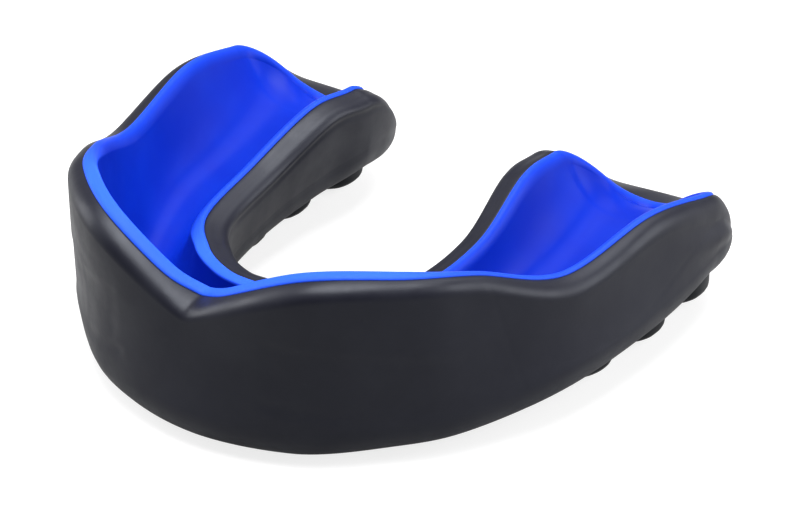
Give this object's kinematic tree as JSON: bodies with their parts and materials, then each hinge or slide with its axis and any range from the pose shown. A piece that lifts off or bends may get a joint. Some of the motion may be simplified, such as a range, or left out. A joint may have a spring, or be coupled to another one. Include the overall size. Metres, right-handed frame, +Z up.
{
  "type": "boil and bite mouthguard",
  "caption": "Boxing and martial arts mouthguard: black rubber outer shell with a lip notch, a soft blue gel liner in its tooth channel, and bite pads under each arm.",
  "frame": {"origin": "middle of the footprint, on the plane that the bite pads and the front edge of the shell stand on", "axes": "+Z up towards the upper gum, -Y towards the front teeth, +Y towards the throat, X = 0 is the mirror plane"},
  "size_m": [0.0634, 0.0601, 0.0207],
  "materials": {
    "shell": "satin",
    "liner": "gloss",
    "pad": "satin"
  },
  "bodies": {
    "root": {"outer_shell": "shell", "inner_liner": "liner", "bite_pad_right_front": "pad", "bite_pad_right_middle": "pad", "bite_pad_right_rear": "pad", "bite_pad_left_front": "pad", "bite_pad_left_middle": "pad", "bite_pad_left_rear": "pad"}
  },
  "joints": []
}
